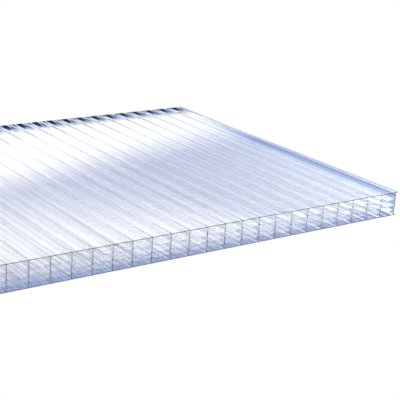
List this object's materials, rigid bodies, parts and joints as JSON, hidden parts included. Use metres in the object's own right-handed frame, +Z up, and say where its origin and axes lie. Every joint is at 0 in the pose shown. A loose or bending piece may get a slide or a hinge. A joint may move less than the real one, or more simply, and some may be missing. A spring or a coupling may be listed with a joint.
{
  "type": "multiwall polycarbonate sheet",
  "caption": "Clear multiwall polycarbonate sheet: flat skins joined by upright ribs and thin sagging membranes, with flutes open at both sawn ends and short side flanges.",
  "frame": {"origin": "middle of the underside, on the surface that the sheet lies on", "axes": "+X across the flutes, +Y along the flutes, +Z up out of the skin that faces the weather"},
  "size_m": [0.9854, 0.39, 0.025],
  "materials": {
    "polycarbonate": "clear extruded polycarbonate, glossy on both skins, a faint blue cast in depth"
  },
  "bodies": {
    "root": {"sheet": "polycarbonate"}
  },
  "joints": []
}
